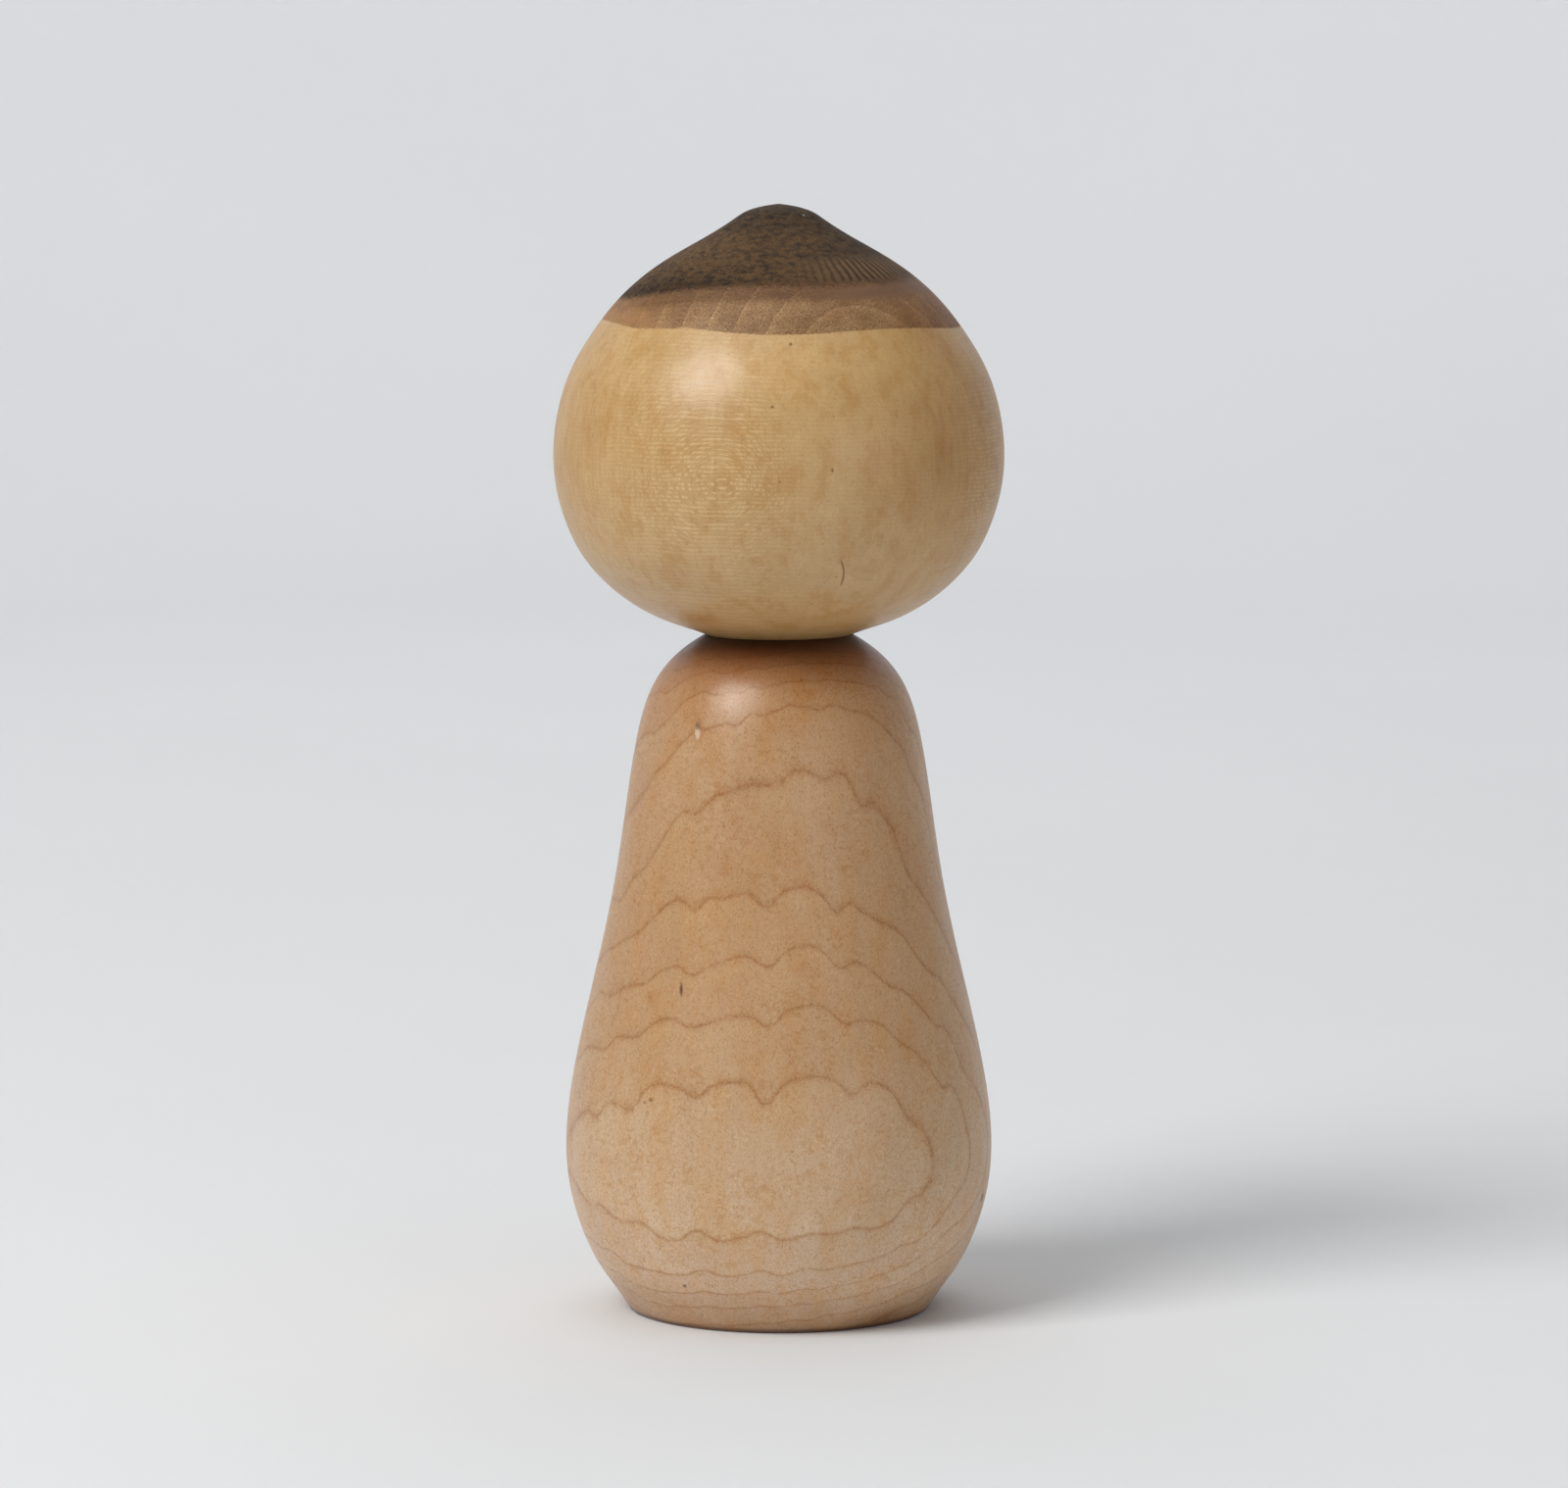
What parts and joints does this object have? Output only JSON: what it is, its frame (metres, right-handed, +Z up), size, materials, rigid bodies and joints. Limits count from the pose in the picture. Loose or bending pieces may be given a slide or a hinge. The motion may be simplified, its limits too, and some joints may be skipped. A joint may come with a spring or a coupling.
{
  "type": "kokeshi doll",
  "caption": "Turned wooden figurine: pear-shaped body and onion-shaped head with a stained crown; the head swivels on a hidden neck peg.",
  "frame": {"origin": "centre of the foot, on the surface the doll stands on", "axes": "+Z up along the turning axis, towards the tip of the crown; -Y is the front"},
  "size_m": [0.0738, 0.0738, 0.182],
  "materials": {
    "body_wood": "satin wax over reddish flat-sawn maple",
    "head_wood": "satin wax over pale quarter-flecked maple, crown stained dark brown",
    "dowel_wood": "plain turned birch"
  },
  "bodies": {
    "torso": {"body": "body_wood"},
    "head_unit": {"head": "head_wood", "neck_dowel": "dowel_wood"}
  },
  "joints": [
    {"name": "head_turn", "type": "hinge", "parent": "torso", "child": "head_unit", "pos_m": [0, 0, 0.1117], "axis": [0, 0, 1], "continuous": true}
  ]
}
